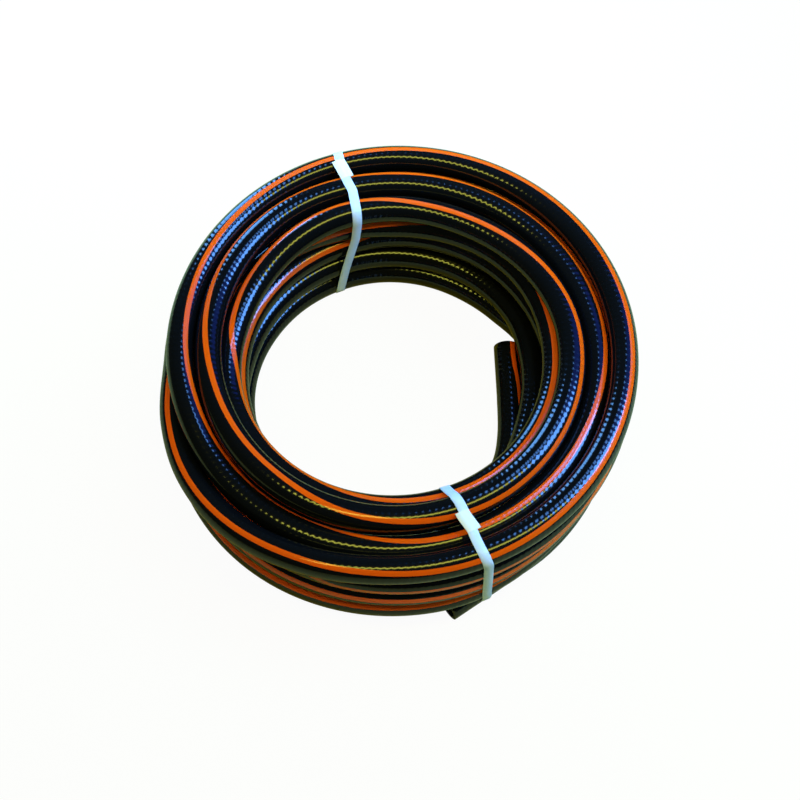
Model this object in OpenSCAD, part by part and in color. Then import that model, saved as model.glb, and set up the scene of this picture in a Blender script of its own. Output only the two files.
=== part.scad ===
// A factory-wound coil of garden hose, tied with two strapping bands.
// Millimetres, +Z up. The origin is the middle of the coil's footprint, on the floor.
// The hose is one length with two bare cut ends: one inside the coil, low on its
// right, and one outside, low at its front.

/* [Hose] */
// Outside diameter of the hose
hose_d = 18; // [14:0.5:22]
// Bore: half an inch
bore_d = 12.7; // [9:0.1:13.5]
// Share of the wall that is the inner tube
liner_share = 0.42; // [0.3:0.01:0.45]
// Share of the wall that is the yarn braid
braid_share = 0.16; // [0.1:0.01:0.2]
// Width of the coloured stripe let into the cover
stripe_w = 3.6; // [2:0.1:5]
// Share of the cover's thickness that the stripe takes
stripe_share = 0.6; // [0.3:0.05:0.8]

/* [Coil] */
// Radius of the innermost turns' centreline
coil_in_r = 105.3; // [98:0.5:115]
// How much longer the coil is front to back than side to side
coil_stretch = 1.04; // [1.02:0.01:1.06]
// Sideways lean of the stack for each unit of height
coil_lean = 0.075; // [0:0.005:0.09]
// Straight stretch from the coil to the inner cut end
inner_end_len = 31; // [24:1:44]
// Straight stretch from the coil to the outer cut end
outer_end_len = 40; // [24:1:44]

/* [Straps] */
// Width of the strapping band
strap_w = 6.5; // [5:0.5:9]
// Thickness of the band
strap_t = 0.6; // [0.4:0.05:0.8]
// Clearance between the band and the hose it holds
strap_gap = 0.15; // [0.1:0.05:0.3]
// Place of the rear strap, in turns clockwise from the back
rear_at = 0.958; // [0.95:0.001:0.965]
// Place of the front strap, in turns clockwise from the back
front_at = 0.444; // [0.435:0.001:0.45]

/* [Hidden] */

$fn = 72;
d = hose_d;
wall = (hose_d - bore_d) / 2;
liner_r = bore_d / 2 + wall * liner_share;
braid_r = liner_r + wall * braid_share;
stripe_r = d / 2 - (d / 2 - braid_r) * stripe_share;
stripe_a = stripe_w / (PI * d) * 360;

// The winding, in hose diameters. A turn runs clockwise from the back, so .25 is the
// right, .5 the front and .75 the left. Rows lie one above another, 1.04 apart.
row_share = [0.40, 1.44, 2.48, 3.52];
inner_column_share = 5.85;
// each station: [turn, radius of the centreline, height of the centreline]
inner_columns = [
    // straight inner end, then the bottom turn of the inner column
    [-0.755, 4.63, .5], [-0.745, 4.633, .5], [-0.728, 4.68, .5], [-0.70, 4.85, .5],
    [-0.66, 5.18, .48], [-0.62, 5.40, .44], [-0.57, 5.47, .4], [-0.5, 5.47, .4],
    [-0.25, 5.68, .4], [-0.14, 5.62, .4], [0, 5.60, .4], [0.07, 5.62, .4],
    [0.135, 5.75, .4], [0.17, 5.99, .4], [0.21, 6.28, .4], [0.26, 6.51, .4], [0.33, 6.72, .4],
    // middle column, rows 1 and 2
    [0.48, 7.04, row_share[0]], [0.75, 6.90, row_share[0]], [1.06, 7.12, row_share[0]],
    [1.28, 7.14, row_share[1]], [1.5, 7.10, row_share[1]],
    // back to the inner column, rows 2 and 3
    [1.80, 5.75, row_share[1]], [2.0, 5.66, row_share[1]], [2.11, 5.71, row_share[1]], [2.16, 5.69, row_share[1]],
    [2.22, 5.50, row_share[1]], [2.29, 5.40, row_share[1]], [2.42, 5.84, row_share[1]],
    [2.66, 5.93, 2.47], [2.80, 5.91, 2.47], [2.93, 5.84, 2.47], [3.0, 5.93, row_share[2]],
    [3.16, 6.08, row_share[2]],
    // out under the top layer, and back in as row 4
    [3.28, 6.20, 2.54], [3.5, 6.88, 2.95], [3.71, 6.90, 3.0], [3.79, 6.68, 3.19],
    [3.85, 6.47, 3.34], [3.90, 6.18, 3.46], [3.95, 5.88, row_share[3]],
    [4.0, 5.70, row_share[3]], [4.16, 5.97, row_share[3]]];
top_turns = [
    // innermost turn of the top: low at the front, kinked up at the back
    [4.25, 5.91, 3.6], [4.5, 6.05, 3.83], [4.70, 6.26, 3.78], [4.80, 5.98, 4.06],
    [4.94, 5.75, 4.61], [5.06, 5.63, 4.65],
    // second turn, lying on top
    [5.25, 6.32, 4.70], [5.5, 6.80, 4.69], [5.75, 6.9, 4.65], [5.88, 6.92, 4.64],
    [6.0, 6.76, 4.62],
    // third turn, sunk between its neighbours on the right and at the front
    [6.25, 7.32, 4.20], [6.38, 7.54, 4.16], [6.5, 7.66, 4.14], [6.61, 7.74, 4.0],
    [6.66, 7.8, 4.14], [6.70, 7.87, 4.42], [6.75, 7.94, 4.60], [7.0, 7.94, 4.64],
    // outermost turn of the top, which drops down the outside on the left
    [7.25, 8.24, 4.69], [7.38, 8.44, 4.67], [7.5, 8.56, 4.63], [7.56, 8.68, 4.34],
    [7.61, 8.78, 3.96], [7.66, 8.66, 3.6], [7.70, 8.42, 3.52], [7.75, 8.06, 3.53]];
// the outer column: four turns, each one row lower than the last
outer_column = [for (k = [0 : 2]) each [
    [8.20 + k, 8.22, row_share[3 - k]],
    [8.36 + k, 8.42 - 0.11 * k, row_share[3 - k] + .05 + .02 * k],
    [8.47 + k, 8.5, row_share[3 - k] + .05 + .02 * k],
    [8.74 + k, 7.95 + 0.02 * k, row_share[2 - k]]]];
outer_end_run = [[11.20, 8.22, .4], [11.32, 8.16, .44], [11.38, 8.12, .5], [11.40, 8.08, .5]];
S = concat(inner_columns, top_turns, outer_column, outer_end_run);
NS = len(S);
t_first = S[0][0];
t_last = S[NS - 1][0];

// smooth curve through the stations that never overshoots one
function rise(c, i) = (S[i + 1][c] - S[i][c]) / (S[i + 1][0] - S[i][0]);
function knot(c, i) =
    i == 0 ? 0 :
    i == NS - 1 ? rise(c, i - 1) :
    rise(c, i - 1) * rise(c, i) <= 0 ? 0 :
    let (h0 = S[i][0] - S[i - 1][0], h1 = S[i + 1][0] - S[i][0],
         w1 = 2 * h1 + h0, w2 = h1 + 2 * h0)
    (w1 + w2) / (w1 / rise(c, i - 1) + w2 / rise(c, i));
KR = [for (i = [0 : NS - 1]) knot(1, i)];
KZ = [for (i = [0 : NS - 1]) knot(2, i)];
function span(t) = max([for (i = [0 : NS - 2]) if (i == 0 || S[i][0] <= t + 0.000001) i]);
function blend(i, s, h, y0, y1, m0, m1) =
    (2 * s * s * s - 3 * s * s + 1) * y0 + (s * s * s - 2 * s * s + s) * h * m0
    + (3 * s * s - 2 * s * s * s) * y1 + (s * s * s - s * s) * h * m1;
// centreline of the hose at turn t, before the coil is centred
function place(t) =
    let (i = span(t), h = S[i + 1][0] - S[i][0], s = (t - S[i][0]) / h,
         r = blend(i, s, h, S[i][1], S[i + 1][1], KR[i], KR[i + 1]),
         z = blend(i, s, h, S[i][2], S[i + 1][2], KZ[i], KZ[i + 1]),
         rr = coil_in_r + (r - inner_column_share) * d, a = 90 - 360 * t)
    [rr * cos(a) + coil_lean * (z - 4.6) * d, coil_stretch * rr * sin(a), z * d];
function unit(v) = v / norm(v);
function flat(v) = unit([v[0], v[1], 0]);

// the two straight ends, from where the coil's solid stops
in_dir = flat(place(t_first) - place(t_first + 0.002));
out_dir = flat(place(t_last) - place(t_last - 0.002));
in_stub = 0.31 * d;
out_stub = d;
in_root = place(t_first) + in_dir * in_stub;
out_root = place(t_last) + out_dir * out_stub;

// rings of the coil: 24 to a turn, and one at the end of each straight stub
RINGS = concat([in_root], [for (k = [0 : round((t_last - t_first) * 24) - 1]) place(t_first + k / 24)],
    [place(t_last), out_root]);
NR = len(RINGS);
tip_in = in_root + in_dir * inner_end_len;
tip_out = out_root + out_dir * outer_end_len;
xs = [for (p = RINGS) p[0]];
ys = [for (p = RINGS) p[1]];
mid = [(min(xs) + max(xs)) / 2, (min(ys) + max(ys)) / 2, 0];

// least gap between two turns, measured between ring centres over half a turn apart
least = min([for (i = [0 : NR - 1]) for (j = [i + 9 : 1 : NR - 1]) norm(RINGS[i] - RINGS[j])]) - d;
echo(least_gap_mm = least, rings = NR);
run_len = [for (i = 0, l = 0; i < NR; l = l + (i < NR - 1 ? norm(RINGS[i + 1] - RINGS[i]) : 0), i = i + 1) l];
echo(hose_length_mm = run_len[NR - 1] + inner_end_len + outer_end_len, middle = mid);

// six points of the hose's outside around ring i
function heading(i) =
    i == 0 ? unit(RINGS[1] - RINGS[0]) :
    i == NR - 1 ? unit(RINGS[NR - 1] - RINGS[NR - 2]) :
    unit(unit(RINGS[i + 1] - RINGS[i]) + unit(RINGS[i] - RINGS[i - 1]));
function ring(i) =
    let (h = heading(i), side = unit(cross(h, [0, 0, 1])), top = cross(side, h))
    [for (k = [0 : 5]) RINGS[i] + d / 2 * (cos(90 + 60 * k) * side + sin(90 + 60 * k) * top)];

// the wound hose as one unbroken tube, flat where it stands on the floor
module hose_coil()
    color([0.03, 0.03, 0.035])
    difference() {
        translate(-mid)
            polyhedron(
                points = [for (i = [0 : NR - 1]) each ring(i)],
                faces = concat(
                    [for (k = [1 : 4]) [0, k + 1, k]],
                    [for (i = [0 : NR - 2]) for (k = [0 : 5])
                        [i * 6 + k, i * 6 + (k + 1) % 6, (i + 1) * 6 + k]],
                    [for (i = [0 : NR - 2]) for (k = [0 : 5])
                        [i * 6 + (k + 1) % 6, (i + 1) * 6 + (k + 1) % 6, (i + 1) * 6 + k]],
                    [for (k = [1 : 4]) [(NR - 1) * 6, (NR - 1) * 6 + k, (NR - 1) * 6 + k + 1]]));
        translate([-20 * d, -20 * d, -2 * d])
            cube([40 * d, 40 * d, 2 * d]);
        strap_groove(REAR);
        strap_groove(FRONT);
    }

// puts a round stretch that was drawn along +Z on a straight end; side points outward
module on_end(root, dir, lean)
    translate(root - mid)
        multmatrix([[cross([0, 0, 1], dir)[0] * lean, 0, dir[0], 0],
                    [cross([0, 0, 1], dir)[1] * lean, 0, dir[1], 0],
                    [0, 1, 0, 0],
                    [0, 0, 0, 1]])
            children();

module tube(r_out, r_in, len)
    difference() {
        cylinder(r = r_out, h = len);
        translate([0, 0, -1])
            cylinder(r = r_in, h = len + 2);
    }

// a sector of the cover, a little over half as high again as the stripe is deep
module stripe_sector(at, r_in, r_out, len)
    rotate([0, 0, at - stripe_a / 2])
        rotate_extrude(angle = stripe_a)
            translate([r_in, 0])
                square([r_out - r_in, len]);

module cover(len, at)
    difference() {
        tube(d / 2, braid_r, len);
        translate([0, 0, -1])
            stripe_sector(at, stripe_r, d / 2 + 1, len + 2);
    }

// inner cut end: inner tube, yarn braid, cover and stripe
inner_stripe_at = 55;
module inner_end_liner()
    color([0.09, 0.09, 0.09])
    on_end(in_root, in_dir, -1)
        tube(liner_r, bore_d / 2, inner_end_len);
module inner_end_braid()
    color([0.62, 0.62, 0.58])
    on_end(in_root, in_dir, -1)
        tube(braid_r, liner_r, inner_end_len);
module inner_end_cover()
    color([0.03, 0.03, 0.035])
    on_end(in_root, in_dir, -1)
        cover(inner_end_len, inner_stripe_at);
module inner_end_stripe()
    color([0.80, 0.08, 0.0])
    on_end(in_root, in_dir, -1)
        stripe_sector(inner_stripe_at, stripe_r, d / 2, inner_end_len);

// outer cut end: the same four, notched below where the front strap passes under
outer_stripe_at = 100;
module outer_end_liner()
    color([0.09, 0.09, 0.09])
    difference() {
        on_end(out_root, out_dir, 1)
            tube(liner_r, bore_d / 2, outer_end_len);
        strap_groove(FRONT);
    }
module outer_end_braid()
    color([0.62, 0.62, 0.58])
    difference() {
        on_end(out_root, out_dir, 1)
            tube(braid_r, liner_r, outer_end_len);
        strap_groove(FRONT);
    }
module outer_end_cover()
    color([0.03, 0.03, 0.035])
    difference() {
        on_end(out_root, out_dir, 1)
            cover(outer_end_len, outer_stripe_at);
        strap_groove(FRONT);
    }
module outer_end_stripe()
    color([0.80, 0.08, 0.0])
    on_end(out_root, out_dir, 1)
        stripe_sector(outer_stripe_at, stripe_r, d / 2, outer_end_len);

// A strap: [turn fraction at the top, drift of its foot, start and end of its weld].
// The weld is where the second end lies on the first, as angles round the bundle,
// 0 outward and 90 up.
REAR = [rear_at, -0.020, 80, 100];
FRONT = [front_at, -0.002, 78, 102];
function strap_turn(s, z) = s[0] + s[1] * max(0, 1 - z / (2.9 * d));
function strap_dir(s) = [cos(90 - 360 * s[0]), sin(90 - 360 * s[0]), 0];
// crossing of every turn with the strap: [point on the centreline, direction of the hose]
function cross_t(s, k) = k + strap_turn(s, place_safe(k + s[0])[2]);
// on the straight run between two rings, as the solid is built
function ring_before(t) = floor(t * 24) / 24;
function ring_after(t) = min(ring_before(t) + 1 / 24, t_last);
function place_safe(t) =
    t >= t_last ? place(t_last) + out_dir * min((t - t_last) * 53 * d, out_stub + outer_end_len) :
    let (a = ring_before(t), b = ring_after(t), s = (t - a) / (b - a)) place(a) * (1 - s) + place(b) * s;
function crossing(t) =
    [place_safe(t), t >= t_last ? out_dir : flat(place(ring_after(t)) - place(ring_before(t)))];
function crossings(s) =
    [for (k = [-1 : 11]) if (k + s[0] > t_first && k + s[0] < t_last + 0.056) crossing(cross_t(s, k))];
// the band touches the bundle at the point that is farthest out in each direction
function far_out(c, u, a) =
    let (v = [for (q = c) (q[0] * u) * cos(a) + q[0][2] * sin(a)], m = max(v))
    c[[for (i = [0 : len(v) - 1]) if (v[i] == m) i][0]];
// and lies along the hose there; side is -1 or 1, for the band's two edges
function band_point(c, u, a, off, low, side) =
    let (q = far_out(c, u, a), out = cross([0, 0, 1], q[1]) * sign(cross([0, 0, 1], q[1]) * u),
         p = q[0] + off * (cos(a) * out + sin(a) * [0, 0, 1]) + side * q[1] * strap_w / 2)
    [p[0], p[1], max(p[2], low)];
strap_step = 7.5;
weld_step = 1.5;
// directions round the bundle with the band's thickness in plies: two at the weld, else one
function strap_stations(s) =
    let (n = round((s[3] - s[2]) / strap_step), m = round((360 - s[3] + s[2]) / strap_step))
    concat([for (i = [0 : n]) [s[2] + (s[3] - s[2]) * i / n, 2]],
        [for (i = [0 : m]) [s[3] + weld_step + (360 - s[3] + s[2] - 2 * weld_step) * i / m, 1]]);
module strap(s) {
    c = crossings(s);
    u = strap_dir(s);
    in_off = d / 2 + strap_gap;
    stations = strap_stations(s);
    n = len(stations);
    pts = [for (q = stations) let (out_off = in_off + strap_t * q[1])
        each [band_point(c, u, q[0], in_off, strap_t, -1), band_point(c, u, q[0], in_off, strap_t, 1),
            band_point(c, u, q[0], out_off, 0, 1), band_point(c, u, q[0], out_off, 0, -1)]];
    translate(-mid)
        polyhedron(points = pts,
            faces = concat(
                [for (i = [0 : n - 1]) for (k = [0 : 3])
                    [i * 4 + k, ((i + 1) % n) * 4 + k, i * 4 + (k + 1) % 4]],
                [for (i = [0 : n - 1]) for (k = [0 : 3])
                    [i * 4 + (k + 1) % 4, ((i + 1) % n) * 4 + k, ((i + 1) % n) * 4 + (k + 1) % 4]]));
}
// the dent in the hose's flat underside where a strap passes below it
module strap_groove(s) {
    c = [for (q = crossings(s)) if (q[0][2] < d) q[0]];
    u = strap_dir(s);
    w = cross(u, [0, 0, 1]);
    across = [for (p = c) p * w];
    along = [for (p = c) p * u];
    centre = u * (min(along) + max(along)) / 2 + w * (min(across) + max(across)) / 2;
    size_u = max(along) - min(along) + 2 * d;
    size_w = max(across) - min(across) + strap_w + 4 * strap_gap;
    translate([centre[0] - mid[0], centre[1] - mid[1], strap_t + strap_gap - d])
        rotate([0, 0, 90 - 360 * s[0]])
            translate([-size_u / 2, -size_w / 2, 0])
                cube([size_u, size_w, d]);
}

// band round the back of the coil, a little left of centre
module strap_rear()
    color([0.86, 0.92, 0.90])
    strap(REAR);
// band round the front of the coil, right of centre
module strap_front()
    color([0.86, 0.92, 0.90])
    strap(FRONT);

hose_coil();
inner_end_liner();
inner_end_braid();
inner_end_cover();
inner_end_stripe();
outer_end_liner();
outer_end_braid();
outer_end_cover();
outer_end_stripe();
strap_rear();
strap_front();
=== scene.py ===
import bpy
import bmesh
import math
import numpy as np
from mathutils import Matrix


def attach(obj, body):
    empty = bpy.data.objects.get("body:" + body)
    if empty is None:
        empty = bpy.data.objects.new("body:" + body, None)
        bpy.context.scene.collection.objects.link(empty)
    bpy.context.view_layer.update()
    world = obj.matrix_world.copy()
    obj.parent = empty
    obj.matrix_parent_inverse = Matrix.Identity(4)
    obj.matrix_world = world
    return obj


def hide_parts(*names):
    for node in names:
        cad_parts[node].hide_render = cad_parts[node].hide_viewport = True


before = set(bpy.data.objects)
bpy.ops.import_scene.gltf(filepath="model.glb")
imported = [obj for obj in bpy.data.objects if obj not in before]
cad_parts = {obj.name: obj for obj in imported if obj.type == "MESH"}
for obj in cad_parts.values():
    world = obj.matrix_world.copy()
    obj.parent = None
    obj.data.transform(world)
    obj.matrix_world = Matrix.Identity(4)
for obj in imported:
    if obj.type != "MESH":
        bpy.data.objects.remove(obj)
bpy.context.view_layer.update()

# ---------------------------------------------------------------------------
# The view. The coil is seen from the front and well above it, from over a
# metre away, by a camera with a long lens.
# ---------------------------------------------------------------------------
hose_d = 0.018
view_elevation = math.radians(59.8)
view_distance = 66 * hose_d
view_target = np.array([0.0, 1.5, 2.5]) * hose_d

cam_data = bpy.data.cameras.new("camera")
cam_data.lens = 78.2
cam_data.sensor_width = 36.0
cam_data.shift_x = 0.0031
cam_data.shift_y = -0.0794
cam_data.clip_end = 50.0
camera = bpy.data.objects.new("camera", cam_data)
bpy.context.scene.collection.objects.link(camera)
bpy.context.scene.camera = camera
bpy.context.scene.view_settings.view_transform = "Standard"

# ---------------------------------------------------------------------------
# How the hose lies. It was wound on a drum at the factory: three columns of
# turns under a top layer, and an outer column of four that ends at the front.
# A turn runs clockwise from the back: .25 is the right, .5 the front.
# ---------------------------------------------------------------------------
# heights of the rows, and then stations on the hose's way: the turn, and the radius and
# height there, all in hose diameters
coil_in_r = 0.1053
coil_stretch = 1.04
coil_lean = 0.075
top_height = 4.6
inner_column_share = 5.85
row = [0.40, 1.44, 2.48, 3.52]
stations = [
    # straight inner end, then the bottom turn of the inner column
    (-0.755, 4.63, .5), (-0.745, 4.633, .5), (-0.728, 4.68, .5), (-0.70, 4.85, .5),
    (-0.66, 5.18, .48), (-0.62, 5.40, .44), (-0.57, 5.47, .4), (-0.5, 5.47, .4),
    (-0.25, 5.68, .4), (-0.14, 5.62, .4), (0, 5.60, .4), (0.07, 5.62, .4),
    (0.135, 5.75, .4), (0.17, 5.99, .4), (0.21, 6.28, .4), (0.26, 6.51, .4), (0.33, 6.72, .4),
    # middle column, rows 1 and 2
    (0.48, 7.04, row[0]), (0.75, 6.90, row[0]), (1.06, 7.12, row[0]),
    (1.28, 7.14, row[1]), (1.5, 7.10, row[1]),
    # back to the inner column, rows 2 and 3
    (1.80, 5.75, row[1]), (2.0, 5.66, row[1]), (2.11, 5.71, row[1]), (2.16, 5.69, row[1]),
    (2.22, 5.50, row[1]), (2.29, 5.40, row[1]), (2.42, 5.84, row[1]),
    (2.66, 5.93, 2.47), (2.80, 5.91, 2.47), (2.93, 5.84, 2.47), (3.0, 5.93, row[2]),
    (3.16, 6.08, row[2]),
    # out under the top layer, and back in as row 4
    (3.28, 6.20, 2.54), (3.5, 6.88, 2.95), (3.71, 6.90, 3.0), (3.79, 6.68, 3.19),
    (3.85, 6.47, 3.34),
    (3.90, 6.18, 3.46), (3.95, 5.88, row[3]), (4.0, 5.70, row[3]), (4.16, 5.97, row[3]),
    # innermost turn of the top: low at the front, kinked up at the back
    (4.25, 5.91, 3.6), (4.5, 6.05, 3.83), (4.70, 6.26, 3.78), (4.80, 5.98, 4.06),
    (4.94, 5.75, 4.61), (5.06, 5.63, 4.65),
    # second turn, lying on top
    (5.25, 6.32, 4.70), (5.5, 6.80, 4.69), (5.75, 6.9, 4.65), (5.88, 6.92, 4.64),
    (6.0, 6.76, 4.62),
    # third turn, sunk between its neighbours on the right and at the front
    (6.25, 7.32, 4.20), (6.38, 7.54, 4.16), (6.5, 7.66, 4.14), (6.61, 7.74, 4.0),
    (6.66, 7.8, 4.14), (6.70, 7.87, 4.42), (6.75, 7.94, 4.60), (7.0, 7.94, 4.64),
    # outermost turn of the top, which drops down the outside on the left
    (7.25, 8.24, 4.69), (7.38, 8.44, 4.67), (7.5, 8.56, 4.63), (7.56, 8.68, 4.34),
    (7.61, 8.78, 3.96), (7.66, 8.66, 3.6), (7.70, 8.42, 3.52), (7.75, 8.06, 3.53)]
for k in range(3):
    # the outer column: each turn one row lower than the last
    stations += [(8.20 + k, 8.22, row[3 - k]),
                 (8.36 + k, 8.42 - 0.11 * k, row[3 - k] + .05 + .02 * k),
                 (8.47 + k, 8.5, row[3 - k] + .05 + .02 * k),
                 (8.74 + k, 7.95 + 0.02 * k, row[2 - k])]
stations += [(11.20, 8.22, .4), (11.32, 8.16, .44), (11.38, 8.12, .5), (11.40, 8.08, .5)]
stations = np.array(stations)
first_turn, last_turn = stations[0, 0], stations[-1, 0]


def follow(turns, given_at, values):
    """smooth curve through the values given at some turns, overshooting none of them"""
    gap = np.diff(given_at)
    rise = np.diff(values) / gap
    slope = np.zeros(len(values))
    slope[-1] = rise[-1]
    for i in range(1, len(values) - 1):
        if rise[i - 1] * rise[i] > 0:
            w1, w2 = 2 * gap[i] + gap[i - 1], gap[i] + 2 * gap[i - 1]
            slope[i] = (w1 + w2) / (w1 / rise[i - 1] + w2 / rise[i])
    i = np.clip(np.searchsorted(given_at, turns + 1e-6, side="right") - 1, 0, len(gap) - 1)
    s = (turns - given_at[i]) / gap[i]
    return ((2 * s**3 - 3 * s**2 + 1) * values[i] + (s**3 - 2 * s**2 + s) * gap[i] * slope[i]
            + (3 * s**2 - 2 * s**3) * values[i + 1] + (s**3 - s**2) * gap[i] * slope[i + 1])


def place(turns):
    """centreline of the hose at each turn, before the coil is centred"""
    turns = np.atleast_1d(np.asarray(turns, float))
    r = coil_in_r + (follow(turns, stations[:, 0], stations[:, 1]) - inner_column_share) * hose_d
    z = follow(turns, stations[:, 0], stations[:, 2]) * hose_d
    a = np.radians(90 - 360 * turns)
    x = r * np.cos(a) + coil_lean * (z - top_height * hose_d)
    return np.stack([x, coil_stretch * r * np.sin(a), z], -1)


def level_unit(v):
    """direction of v, seen from above"""
    v = np.array([v[0], v[1], 0.0])
    return v / np.linalg.norm(v)


in_dir = level_unit(place(first_turn)[0] - place(first_turn + 0.002)[0])
out_dir = level_unit(place(last_turn)[0] - place(last_turn - 0.002)[0])
inner_end_len = 0.031
outer_end_len = 0.040
in_lead = 0.31 * hose_d
out_lead = hose_d
in_root = place(first_turn)[0] + in_dir * in_lead
out_root = place(last_turn)[0] + out_dir * out_lead
# the coil is centred by the rings of its construction, of which a turn has 24
ring_turns = first_turn + np.arange(round((last_turn - first_turn) * 24)) / 24
rings = np.vstack([in_root, place(ring_turns), place(last_turn), out_root])
mid = np.append((rings[:, :2].min(0) + rings[:, :2].max(0)) / 2, 0.0)
tip_in = in_root + in_dir * inner_end_len
tip_out = out_root + out_dir * outer_end_len

# even points along the whole hose, from one cut end to the other, with their turn
fine_t = np.linspace(first_turn, last_turn, 12000)
fine = np.vstack([tip_in, place(fine_t), tip_out]) - mid
tip_in_turn = first_turn - 0.09
tip_out_turn = last_turn + 0.058
fine_t = np.concatenate([[tip_in_turn], fine_t, [tip_out_turn]])
run = np.append(0, np.cumsum(np.linalg.norm(np.diff(fine, axis=0), axis=1)))
hose_length = run[-1]
route_count = 2680
route_s = np.linspace(0, hose_length, route_count)
route = np.stack([np.interp(route_s, run, fine[:, i]) for i in range(3)], -1)
route_t = np.interp(route_s, run, fine_t)

forward = np.array([0.0, math.cos(view_elevation), -math.sin(view_elevation)])
camera.location = view_target - forward * view_distance - mid
camera.rotation_euler = (math.pi / 2 - view_elevation, 0.0, 0.0)

# ---------------------------------------------------------------------------
# The hose: black PVC, drawn round a yarn braid that shows through as a fine
# relief, with one orange stripe let into the cover as it is extruded. It is
# wound warm, so it keeps the curve, and it is cut square at both ends.
# ---------------------------------------------------------------------------
bore_r = 0.00635
hose_wall = hose_d / 2 - bore_r
liner_r = bore_r + hose_wall * 0.42
braid_r = liner_r + hose_wall * 0.16
stripe_w = 0.0036
ridge_pitch = 0.0041
ridges_round = 4

# the hose twists as it is wound, so its stripe swings: the turn, and the way the stripe
# faces there in the hose's section, 0 degrees outward, 90 up, 180 inward
stripe_at = np.array([
    (-0.86, 67), (-0.81, 64), (-0.77, 50), (-0.6, 20), (-0.4, 0), (2.5, 0), (2.65, 130),
    (2.95, 127), (3.05, 60), (3.7, 60), (3.82, 100), (3.91, 152), (3.97, 130), (4.04, 105),
    (4.12, 84), (4.21, 97), (4.4, 90), (4.5, 105), (4.6, 140), (4.71, 150), (4.78, 80),
    (4.83, 62), (4.93, 58), (5.04, 92), (5.1, 88), (5.25, 50), (5.4, 36), (5.53, 70),
    (5.62, 106), (5.7, 100), (5.78, 67), (5.85, 41), (5.95, 52), (6.0, 60), (6.15, 42),
    (6.22, 46), (6.34, 84), (6.47, 95), (6.58, 147), (6.7, 132), (6.85, 92), (7.05, 72),
    (7.2, 62), (7.34, 57), (7.45, 45), (7.6, 72), (7.66, 66), (7.9, 100), (8.03, 126),
    (8.2, 126), (8.4, 0), (8.53, 0), (8.6, 100), (8.8, 70), (9.2, 16), (9.4, 15), (9.6, 31),
    (9.9, 129), (10.1, 90), (10.4, 44), (10.6, 43), (10.8, 80), (11.1, 180), (11.5, 200)])


def srgb(code):
    """linear colour of an sRGB hex code"""
    channels = [int(code[i:i + 2], 16) / 255 for i in (1, 3, 5)]
    linear = (c / 12.92 if c <= 0.04045 else ((c + 0.055) / 1.055) ** 2.4 for c in channels)
    return tuple(linear) + (1.0,)


def add(tree, kind, settings=None, links=None):
    """adds a node; settings names its properties or sockets, links its input sockets"""
    node = tree.nodes.new(kind)
    for key, value in (settings or {}).items():
        if isinstance(key, str) and hasattr(node, key) and key not in node.inputs:
            setattr(node, key, value)
        else:
            node.inputs[key].default_value = value
    for key, source in (links or {}).items():
        tree.links.new(source, node.inputs[key])
    return node


def new_material(name):
    """a material with an empty tree"""
    m = bpy.data.materials.new(name)
    m.use_nodes = True
    m.node_tree.nodes.clear()
    return m, m.node_tree


# plasticised PVC, glossy from the die, near black right through
cover, tree = new_material("hose_cover_gloss_pvc")
uv = add(tree, "ShaderNodeUVMap", {"uv_map": "hose_uv"})
split = add(tree, "ShaderNodeSeparateXYZ", links={0: uv.outputs[0]})
around, along = split.outputs[0], split.outputs[1]
circumference = math.pi * hose_d
off = add(tree, "ShaderNodeMath", {"operation": "SUBTRACT", 1: 0.5}, {0: around})
away = add(tree, "ShaderNodeMath", {"operation": "ABSOLUTE"}, {0: off.outputs[0]})
stripe_blur = 0.00012
edge = add(tree, "ShaderNodeMapRange", {"From Min": (stripe_w / 2 + stripe_blur) / circumference,
                                        "From Max": (stripe_w / 2 - stripe_blur) / circumference},
           {"Value": away.outputs[0]})
tint = add(tree, "ShaderNodeMix", {"data_type": "RGBA"}, {0: edge.outputs[0]})
tint.inputs[6].default_value = srgb("#090A0A")
tint.inputs[7].default_value = srgb("#FF5B04")
# where two yarns of the braid cross they lift the cover; one lay was laid tighter, so its
# ridges stand out, and the other only nicks them
turns_round = add(tree, "ShaderNodeMath",
                  {"operation": "MULTIPLY", 1: ridges_round * 2 * math.pi}, {0: around})
turns_long = add(tree, "ShaderNodeMath",
                 {"operation": "MULTIPLY", 1: 2 * math.pi / ridge_pitch}, {0: along})
right_lay = add(tree, "ShaderNodeMath", {"operation": "ADD"},
                {0: turns_round.outputs[0], 1: turns_long.outputs[0]})
left_lay = add(tree, "ShaderNodeMath", {"operation": "SUBTRACT"},
               {0: turns_round.outputs[0], 1: turns_long.outputs[0]})
right_wave = add(tree, "ShaderNodeMath", {"operation": "SINE"}, {0: right_lay.outputs[0]})
left_wave = add(tree, "ShaderNodeMath", {"operation": "SINE"}, {0: left_lay.outputs[0]})
relief = add(tree, "ShaderNodeMath", {"operation": "MULTIPLY_ADD", 1: 0.1},
             {0: left_wave.outputs[0], 2: right_wave.outputs[0]})
# the stripe was fed in hotter and flowed level, so it is smoother than the black beside it
level_stripe = add(tree, "ShaderNodeMapRange", {"To Min": 1.0, "To Max": 0.3},
                   {"Value": edge.outputs[0]})
soft_relief = add(tree, "ShaderNodeMath", {"operation": "MULTIPLY"},
                  {0: relief.outputs[0], 1: level_stripe.outputs[0]})
bump = add(tree, "ShaderNodeBump", {"Strength": 1.0, "Distance": 0.000034},
           {"Height": soft_relief.outputs[0]})
skin = add(tree, "ShaderNodeBsdfPrincipled", {"Roughness": 0.13, "IOR": 1.53},
           {"Base Color": tint.outputs[2], "Normal": bump.outputs[0]})
add(tree, "ShaderNodeOutputMaterial", links={0: skin.outputs[0]})

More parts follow.
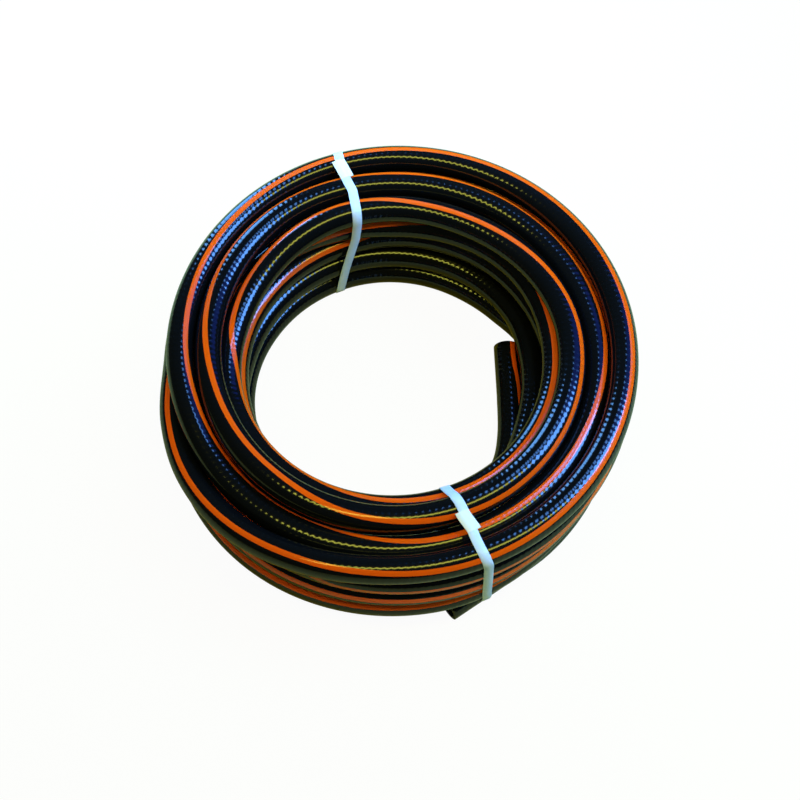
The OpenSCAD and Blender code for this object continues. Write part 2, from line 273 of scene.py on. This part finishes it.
# the same PVC where a knife went through it: matte, a little greyer
cut_face, tree = new_material("hose_cut_pvc")
grain_at = add(tree, "ShaderNodeTexCoord")
grain = add(tree, "ShaderNodeTexNoise", {"Scale": 900.0, "Detail": 3.0},
            {0: grain_at.outputs["Object"]})
drag = add(tree, "ShaderNodeBump", {"Strength": 0.4, "Distance": 0.0001},
           {"Height": grain.outputs[0]})
skin = add(tree, "ShaderNodeBsdfPrincipled",
           {"Base Color": srgb("#1B1B1D"), "Roughness": 0.55, "IOR": 1.53},
           {"Normal": drag.outputs[0]})
add(tree, "ShaderNodeOutputMaterial", links={0: skin.outputs[0]})

# the hose's line, with the twist that turns the stripe to where it faces
line = bpy.data.curves.new("hose_line", "CURVE")
line.dimensions = "3D"
spline = line.splines.new("POLY")
spline.points.add(route_count - 1)
route_co = np.column_stack([route, np.ones(route_count)]).astype(np.float32)
spline.points.foreach_set("co", route_co.ravel())
twist = np.radians(follow(route_t, stripe_at[:, 0], stripe_at[:, 1]))
spline.points.foreach_set("tilt", twist.astype(np.float32))
hose_line = bpy.data.objects.new("hose_line", line)
bpy.context.scene.collection.objects.link(hose_line)

# sweep: a ring of so many sides along the line, flat where it presses on the floor
sweep = bpy.data.node_groups.new("hose_sweep", "GeometryNodeTree")
sweep.interface.new_socket("Geometry", in_out="INPUT", socket_type="NodeSocketGeometry")
hose_sides = 36
for name, kind, value in (("Diameter", "NodeSocketFloat", hose_d),
                          ("Sides", "NodeSocketInt", hose_sides),
                          ("Floor", "NodeSocketFloat", 0.0)):
    socket = sweep.interface.new_socket(name, in_out="INPUT", socket_type=kind)
    socket.default_value = value
sweep.interface.new_socket("Cover", in_out="INPUT", socket_type="NodeSocketMaterial")
sweep.interface.new_socket("Geometry", in_out="OUTPUT", socket_type="NodeSocketGeometry")
given = add(sweep, "NodeGroupInput")
level = add(sweep, "GeometryNodeSetCurveNormal", {"mode": "Z_UP"},
            {0: given.outputs["Geometry"]})
line_at = add(sweep, "GeometryNodeSplineParameter")
keep_along = add(sweep, "GeometryNodeCaptureAttribute")
keep_along.capture_items.new("FLOAT", "Along")
sweep.links.new(level.outputs[0], keep_along.inputs[0])
sweep.links.new(line_at.outputs["Length"], keep_along.inputs[1])
radius = add(sweep, "ShaderNodeMath", {"operation": "MULTIPLY", 1: 0.5},
             {0: given.outputs["Diameter"]})
one_more = add(sweep, "ShaderNodeMath", {"operation": "ADD", 1: 1.0},
               {0: given.outputs["Sides"]})
ring = add(sweep, "GeometryNodeCurveArc", {"Start Angle": 0.0, "Sweep Angle": 2 * math.pi},
           {"Resolution": one_more.outputs[0], "Radius": radius.outputs[0]})
ring_at = add(sweep, "GeometryNodeSplineParameter")
keep_around = add(sweep, "GeometryNodeCaptureAttribute")
keep_around.capture_items.new("FLOAT", "Around")
sweep.links.new(ring.outputs[0], keep_around.inputs[0])
sweep.links.new(ring_at.outputs["Factor"], keep_around.inputs[1])
tube = add(sweep, "GeometryNodeCurveToMesh", {},
           {"Curve": keep_along.outputs[0], "Profile Curve": keep_around.outputs[0]})
pair = add(sweep, "ShaderNodeCombineXYZ", {},
           {0: keep_around.outputs[1], 1: keep_along.outputs[1]})
store = add(sweep, "GeometryNodeStoreNamedAttribute",
            {"data_type": "FLOAT2", "domain": "CORNER", "Name": "hose_uv"},
            {"Geometry": tube.outputs[0], "Value": pair.outputs[0]})
join = add(sweep, "GeometryNodeMergeByDistance", {"Distance": 0.00002},
           {"Geometry": store.outputs[0]})
where = add(sweep, "GeometryNodeInputPosition")
parts = add(sweep, "ShaderNodeSeparateXYZ", {}, {0: where.outputs[0]})
stand = add(sweep, "ShaderNodeMath", {"operation": "MAXIMUM"},
            {0: parts.outputs[2], 1: given.outputs["Floor"]})
pressed = add(sweep, "ShaderNodeCombineXYZ", {},
              {0: parts.outputs[0], 1: parts.outputs[1], 2: stand.outputs[0]})
flat = add(sweep, "GeometryNodeSetPosition", {},
           {"Geometry": join.outputs[0], "Position": pressed.outputs[0]})
smooth = add(sweep, "GeometryNodeSetShadeSmooth", {}, {0: flat.outputs[0]})
real = add(sweep, "GeometryNodeRealizeInstances", {}, {0: smooth.outputs[0]})
paint = add(sweep, "GeometryNodeSetMaterial", {},
            {"Geometry": real.outputs[0], "Material": given.outputs["Cover"]})
add(sweep, "NodeGroupOutput", {}, {0: paint.outputs[0]})


def grow(maker, tree_group, inputs):
    """runs a geometry tree on an object and returns the result as a plain mesh"""
    modifier = maker.modifiers.new(tree_group.name, "NODES")
    modifier.node_group = tree_group
    for item in tree_group.interface.items_tree:
        if item.in_out == "INPUT" and item.name in inputs:
            modifier[item.identifier] = inputs[item.name]
    bpy.context.view_layer.update()
    grown = maker.evaluated_get(bpy.context.evaluated_depsgraph_get())
    mesh = bpy.data.meshes.new_from_object(grown)
    maker.modifiers.remove(modifier)
    return mesh


hose_mesh = grow(hose_line, sweep,
                 {"Diameter": hose_d, "Sides": hose_sides, "Floor": 0.0, "Cover": cover})
bpy.data.objects.remove(hose_line)

# both ends are cut square; the cover ends in an open ring there, in which the
# braid and the liner lie; their finishes are given below
hose_mesh.materials.append(cut_face)
bm = bmesh.new()
bm.from_mesh(hose_mesh)
rim_verts = {v for e in bm.edges if e.is_boundary for v in e.verts}
inner_share = braid_r / (hose_d / 2)
for centre, outward, end_len in ((tip_in - mid, in_dir, inner_end_len),
                                 (tip_out - mid, out_dir, outer_end_len)):
    aside = np.cross(outward, (0, 0, 1))
    rim = sorted((v for v in rim_verts if np.linalg.norm(np.array(v.co) - centre) < 0.012),
                 key=lambda v: math.atan2(v.co.z - centre[2],
                                          float(np.dot(np.array(v.co) - centre, aside))))
    loops = [rim]
    for depth in (0.0, end_len):
        loops.append([bm.verts.new(tuple(centre + (np.array(v.co) - centre) * inner_share
                                         - outward * depth)) for v in rim])
    n = len(rim)
    for a, b in zip(loops, loops[1:]):
        for i in range(n):
            f = bm.faces.new((a[i], a[(i + 1) % n], b[(i + 1) % n], b[i]))
            f.material_index = 1
    f = bm.faces.new(loops[-1])
    f.material_index = 1
bmesh.ops.recalc_face_normals(bm, faces=bm.faces)
bm.to_mesh(hose_mesh)
bm.free()
hose = bpy.data.objects.new("hose", hose_mesh)
bpy.context.scene.collection.objects.link(hose)

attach(hose, "root")
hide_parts("hose_coil", "inner_end_cover", "inner_end_stripe",
            "outer_end_cover", "outer_end_stripe")

# ---------------------------------------------------------------------------
# The wall at each cut end, inside the cover: a polyester yarn braid laid on a
# matte inner tube. They are cut flush with the cover by the same knife.
# ---------------------------------------------------------------------------
# soft black PVC, dull and slightly rough as it leaves the die inside
liner, tree = new_material("hose_liner_matte_pvc")
liner_at = add(tree, "ShaderNodeTexCoord")
liner_grain = add(tree, "ShaderNodeTexNoise", {"Scale": 1500.0, "Detail": 3.0},
                  {0: liner_at.outputs["Object"]})
liner_tint = add(tree, "ShaderNodeMix", {"data_type": "RGBA"}, {0: liner_grain.outputs[0]})
liner_tint.inputs[6].default_value = srgb("#161616")
liner_tint.inputs[7].default_value = srgb("#262625")
liner_bump = add(tree, "ShaderNodeBump", {"Strength": 0.5, "Distance": 0.00005},
                 {"Height": liner_grain.outputs[0]})
skin = add(tree, "ShaderNodeBsdfPrincipled", {"Roughness": 0.6, "IOR": 1.53},
           {"Base Color": liner_tint.outputs[2], "Normal": liner_bump.outputs[0]})
add(tree, "ShaderNodeOutputMaterial", links={0: skin.outputs[0]})

# polyester yarn, dulled by the black plastic round it; its cut ends show as pale specks
yarn, tree = new_material("hose_braid_polyester_yarn")
yarn_at = add(tree, "ShaderNodeTexCoord")
yarn_ends = add(tree, "ShaderNodeTexVoronoi", {"Scale": 900.0},
                {0: yarn_at.outputs["Object"]})
yarn_share = add(tree, "ShaderNodeMapRange", {"From Min": 0.25, "From Max": 0.5},
                 {"Value": yarn_ends.outputs["Distance"]})
yarn_tint = add(tree, "ShaderNodeMix", {"data_type": "RGBA"}, {0: yarn_share.outputs[0]})
yarn_tint.inputs[6].default_value = srgb("#77766E")
yarn_tint.inputs[7].default_value = srgb("#1C1C1C")
yarn_bump = add(tree, "ShaderNodeBump", {"Strength": 0.6, "Distance": 0.0001},
                {"Height": yarn_ends.outputs["Distance"]})
skin = add(tree, "ShaderNodeBsdfPrincipled", {"Roughness": 0.7},
           {"Base Color": yarn_tint.outputs[2], "Normal": yarn_bump.outputs[0]})
add(tree, "ShaderNodeOutputMaterial", links={0: skin.outputs[0]})

for end in ("inner_end", "outer_end"):
    for layer, finish in (("liner", liner), ("braid", yarn)):
        wall_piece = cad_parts[end + "_" + layer]
        wall_piece.data.materials.clear()
        wall_piece.data.materials.append(finish)

# ---------------------------------------------------------------------------
# The straps: semi-clear polypropylene band, 6.5 mm wide, pulled tight round
# the winding by machine. Its second end lies a little askew on the first and
# is heat-welded to it on top of the coil.
# ---------------------------------------------------------------------------
strap_w = 0.0065
strap_t = 0.0006
strap_gap = 0.0004
# the way once round the outer column, in hose diameters
outer_round = 53


def bundle_at(at):
    """centres of the hose's crossings with an upright plane at this turn fraction"""
    points = []
    for turn in (k + at for k in range(-1, 12)):
        if first_turn < turn < last_turn:
            points.append(place(turn)[0] - mid)
        elif last_turn <= turn < last_turn + 0.05:
            beyond = (turn - last_turn) * outer_round * hose_d - out_lead
            points.append(out_root - mid + out_dir * beyond)
    return np.array(points)


def tight_loop(at):
    """tight loop round the winding: from under its outside, over its top, down its inside"""
    a = math.radians(90 - 360 * at)
    outward = np.array([math.cos(a), math.sin(a), 0.0])
    centres = bundle_at(at)
    loop = []
    for angle in np.radians(np.arange(-90, 270, 2)):
        way = outward * math.cos(angle) + np.array([0.0, 0.0, math.sin(angle)])
        # of two crossings that lie as far this way, the outer one counts
        farthest = centres[np.argmax(centres @ (way + outward * 0.0001))]
        loop.append(farthest + way * (hose_d / 2 + strap_gap))
    loop = np.array(loop + [loop[0]])
    loop[:, 2] = np.maximum(loop[:, 2], strap_gap)
    travelled = np.append(0, np.cumsum(np.linalg.norm(np.diff(loop, axis=0), axis=1)))
    even = np.linspace(0, travelled[-1], 181)
    return np.stack([np.interp(even, travelled, loop[:, i]) for i in range(3)], -1), travelled[-1]


def ease(x):
    """0 to 1, with a soft start and a soft stop"""
    x = np.clip(x, 0, 1)
    return x * x * (3 - 2 * x)


# polypropylene drawn lengthwise: milky, with fine drawn lines and a crystalline haze
band, tree = new_material("strap_semi_clear_polypropylene")
band_uv = add(tree, "ShaderNodeUVMap", {"uv_map": "band_uv"})
drawn = add(tree, "ShaderNodeMapping", {"Scale": (9000.0, 90.0, 1.0)}, {0: band_uv.outputs[0]})
drawn_lines = add(tree, "ShaderNodeTexNoise", {"Scale": 1.0, "Detail": 2.0},
                  {0: drawn.outputs[0]})
haze_at = add(tree, "ShaderNodeTexCoord")
haze = add(tree, "ShaderNodeTexNoise", {"Scale": 160.0, "Detail": 3.0},
           {0: haze_at.outputs["Object"]})
milk = add(tree, "ShaderNodeMix", {"data_type": "RGBA"}, {0: haze.outputs[0]})
milk.inputs[6].default_value = srgb("#D6E4E0")
milk.inputs[7].default_value = srgb("#EEF3EC")
# where the plies lap and are welded, the band is painted creamier: painted warm light on that
# stretch
warm_cast_mask = add(tree, "ShaderNodeAttribute", {"attribute_name": "welded"})
milk_and_painted_warm_lap = add(tree, "ShaderNodeMix", {"data_type": "RGBA"},
                  {0: warm_cast_mask.outputs["Fac"], 6: milk.outputs[2]})
milk_and_painted_warm_lap.inputs[7].default_value = srgb("#FFF6CC")
band_bump = add(tree, "ShaderNodeBump", {"Strength": 0.6, "Distance": 0.00004},
                {"Height": drawn_lines.outputs[0]})
skin = add(tree, "ShaderNodeBsdfPrincipled",
           {"Roughness": 0.34, "IOR": 1.49, "Subsurface Weight": 0.12,
            "Subsurface Radius": (0.001, 0.001, 0.001), "Subsurface Scale": 1.0},
           {"Base Color": milk_and_painted_warm_lap.outputs[2], "Normal": band_bump.outputs[0]})
add(tree, "ShaderNodeOutputMaterial", links={0: skin.outputs[0]})


def strap(name, lies_at, tip_over, tip_under, askew):
    """one band, from the tip on top, once round the winding, to the tip welded under it

    lies_at gives the turn it lies at for shares of the loop, and the tips are shares too;
    askew is how far the top tip lies beside the lower one. Returns the band and its line.
    """
    shares, turns = zip(*lies_at)
    grid = np.linspace(min(turns) - 0.001, max(turns) + 0.001, 21)
    loops, lengths = zip(*(tight_loop(at) for at in grid))
    loops, loop_length = np.array(loops), float(np.mean(lengths))
    way = 1 if tip_under > tip_over else -1
    lap = abs(tip_under - tip_over)
    count = 420
    along = np.linspace(0, 1 + lap, count)
    share = (tip_over + way * along) % 1.0
    at = np.interp(share, shares, turns)
    g = np.interp(at, grid, np.arange(len(grid)))
    i = np.clip(g.astype(int), 0, len(grid) - 2)
    h = share * 180
    j = np.clip(h.astype(int), 0, 179)
    gi, hj = (g - i)[:, None], (h - j)[:, None]
    middle = ((loops[i, j] * (1 - gi) + loops[i + 1, j] * gi) * (1 - hj)
              + (loops[i, j + 1] * (1 - gi) + loops[i + 1, j + 1] * gi) * hj)
    for _ in range(6):
        middle[1:-1] = (middle[:-2] + 2 * middle[1:-1] + middle[2:]) / 4
    a = np.radians(90 - 360 * at)
    sideways = np.stack([np.sin(a), -np.cos(a), 0 * a], -1)
    step = np.gradient(middle, axis=0)
    step /= np.linalg.norm(step, axis=1, keepdims=True)
    across = sideways - (sideways * step).sum(1, keepdims=True) * step
    across /= np.linalg.norm(across, axis=1, keepdims=True)
    proud = np.cross(step, across) * way
    metres = along * loop_length
    lap_m = lap * loop_length
    # the top ply rides over the lower one and comes down just past its tip
    lift = (strap_t + 0.00003) * (1 - ease((metres - lap_m - 0.0002) / 0.005))
    # both plies swing aside, the top one and the lower one opposite ways
    swing = 0.03
    top_skew = 1 - ease((metres - lap_m) / swing)
    low_skew = 1 - ease((metres[-1] - lap_m - metres) / swing)
    skew = askew * top_skew - askew * low_skew
    middle = middle + proud * lift[:, None] + across * skew[:, None]
    w, t, r = strap_w / 2, strap_t / 2, 0.00014
    outline = [(-w, -t + r), (-w + r, -t), (w - r, -t), (w, -t + r),
               (w, t - r), (w - r, t), (-w + r, t), (-w, t - r)]
    bm = bmesh.new()
    uv = bm.loops.layers.uv.new("band_uv")
    # this layer marks the lapped, welded stretch, which the band's material tints creamier as
    # painted warm light
    welded = bm.verts.layers.float.new("welded")
    rings_made = []
    for k in range(count):
        ring_made = []
        for x, y in outline:
            v = bm.verts.new(tuple(middle[k] + across[k] * x + proud[k] * y))
            in_lap = metres[k] < lap_m or metres[k] > metres[-1] - lap_m
            v[welded] = 1.0 if in_lap else 0.0
            ring_made.append(v)
        rings_made.append(ring_made)
    for k in range(count - 1):
        for m in range(8):
            n = (m + 1) % 8
            f = bm.faces.new((rings_made[k][m], rings_made[k][n],
                              rings_made[k + 1][n], rings_made[k + 1][m]))
            f.smooth = True
            for loop, (x, q) in zip(f.loops, ((m, k), (m + 1, k), (m + 1, k + 1), (m, k + 1))):
                loop[uv].uv = (outline[x % 8][0], metres[q])
    bm.faces.new(rings_made[0])
    bm.faces.new(rings_made[-1])
    bmesh.ops.recalc_face_normals(bm, faces=bm.faces)
    mesh = bpy.data.meshes.new(name)
    bm.to_mesh(mesh)
    bm.free()
    mesh.set_sharp_from_angle(angle=math.radians(50))
    mesh.materials.append(band)
    piece = bpy.data.objects.new(name, mesh)
    bpy.context.scene.collection.objects.link(piece)
    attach(piece, "root")
    return piece, middle


# the turn at which each band crosses the winding, at shares of the way round its loop
rear, rear_middle = strap("strap_rear_band", [
    (0, .942), (.3, .955), (.36, .9525), (.45, .958), (.53, .953), (.6, .952), (.72, .942),
    (.8, .937), (1, .942)], 0.361, 0.413, -0.00135)
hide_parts("strap_rear")
front, front_middle = strap("strap_front_band", [
    (0, .437), (.1, .433), (.2, .4385), (.42, .4455), (.47, .446), (.53, .452), (.6, .451),
    (.88, .445), (1, .437)], 0.511, 0.467, 0.00135)
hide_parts("strap_front")

# the bands run under the coil in a dent that they press into the hose's flat underside
points = np.zeros(len(hose_mesh.vertices) * 3)
hose_mesh.vertices.foreach_get("co", points)
points = points.reshape(-1, 3)
dent_depth = 0.0009
dent_half_w = 0.0042
dent_slope = 0.002
low = np.nonzero(points[:, 2] < dent_depth)[0]
under = np.vstack([rear_middle, front_middle])
under = under[under[:, 2] < 0.0015]
apart = np.linalg.norm(points[low][:, None, :2] - under[None, :, :2], axis=2).min(1)
dent = dent_depth * (1 - ease((apart - dent_half_w) / dent_slope))
points[low, 2] = np.maximum(points[low, 2], dent)
hose_mesh.vertices.foreach_set("co", points.ravel())
hose_mesh.update()

# ---------------------------------------------------------------------------
# The studio: a pale table, a long warm lamp overhead, three cool windows with a
# curtain round one, and the daylight that they spill on the table. It is no part
# of the hose.
# ---------------------------------------------------------------------------
# matte board: cream in the light it throws back on the hose, white only to the camera
table, tree = new_material("table_cream")
lit = add(tree, "ShaderNodeBsdfDiffuse", {"Color": srgb("#BDB46C")})
glow = add(tree, "ShaderNodeEmission", {"Color": (1, 1, 1, 1), "Strength": 1.04})
path = add(tree, "ShaderNodeLightPath")
share = add(tree, "ShaderNodeMath", {"operation": "MULTIPLY", 1: 0.92},
            {0: path.outputs["Is Camera Ray"]})
both = add(tree, "ShaderNodeMixShader", {},
           {0: share.outputs[0], 1: lit.outputs[0], 2: glow.outputs[0]})
add(tree, "ShaderNodeOutputMaterial", links={0: both.outputs[0]})
floor_mesh = bpy.data.meshes.new("floor")
reach = 4
floor_mesh.from_pydata([(-reach, -reach, 0), (reach, -reach, 0), (reach, reach, 0),
                        (-reach, reach, 0)], [], [(0, 1, 2, 3)])
floor_mesh.materials.append(table)
floor = bpy.data.objects.new("floor", floor_mesh)
bpy.context.scene.collection.objects.link(floor)

world = bpy.data.worlds.new("studio")
bpy.context.scene.world = world
world.use_nodes = True
world.node_tree.nodes.clear()
path = add(world.node_tree, "ShaderNodeLightPath")
dim = add(world.node_tree, "ShaderNodeBackground",
          {"Color": (0.8, 1.0, 0.8, 1), "Strength": 0.03})
white = add(world.node_tree, "ShaderNodeBackground",
            {"Color": (1, 1, 1, 1), "Strength": 1.0})
mix = add(world.node_tree, "ShaderNodeMixShader", {},
          {0: path.outputs["Is Camera Ray"], 1: dim.outputs[0], 2: white.outputs[0]})
add(world.node_tree, "ShaderNodeOutputWorld", {}, {0: mix.outputs[0]})


def softbox(name, azimuth, elevation, span, colour, radiance):
    """area lamp aimed at the coil, which sees it at azimuth (0 back, 90 right) and elevation

    span is the width and the height that it fills there, all in degrees.
    """
    data = bpy.data.lights.new(name, "AREA")
    data.shape = "RECTANGLE"
    distance = 1.6
    data.size, data.size_y = (2 * distance * math.tan(math.radians(a / 2)) for a in span)
    data.color = colour
    data.energy = radiance * math.pi * data.size * data.size_y
    lamp = bpy.data.objects.new(name, data)
    az, el = math.radians(azimuth), math.radians(elevation)
    lamp.location = (distance * math.sin(az) * math.cos(el),
                     distance * math.cos(az) * math.cos(el),
                     distance * math.sin(el))
    lamp.rotation_euler = (math.pi / 2 - el, 0.0, math.pi - az)
    bpy.context.scene.collection.objects.link(lamp)
    return lamp


cool = (0.12, 0.36, 1.0)
deep = (0.02, 0.09, 1.0)
warm = (0.95, 0.93, 0.12)
softbox("window_right", 84, 50, (20, 22), cool, 26)
softbox("window_top", 42, 69, (16, 8), cool, 12)
softbox("curtain_right", 60, 46, (34, 36), deep, 1.3)
softbox("window_back", -29, 17, (14, 30), (0.14, 0.42, 1.0), 14)
softbox("lamp_overhead", 172, 77, (56, 9), warm, 9.5)

# daylight that falls on the table behind the coil and to its right
for name, at, size, radiance in (
        ("spill_back", (-0.14, 0.37, 0.26), (0.7, 0.34), 8),
        ("spill_right", (0.42, -0.05, 0.26), (0.26, 0.5), 6)):
    spill = softbox(name, 0, 90, (20, 20), (0.2, 0.45, 1.0), 0)
    spill.data.size, spill.data.size_y = size
    spill.data.energy = radiance * math.pi * size[0] * size[1]
    spill.location = at
    spill.rotation_euler = (0, 0, 0)
    spill.visible_glossy = False
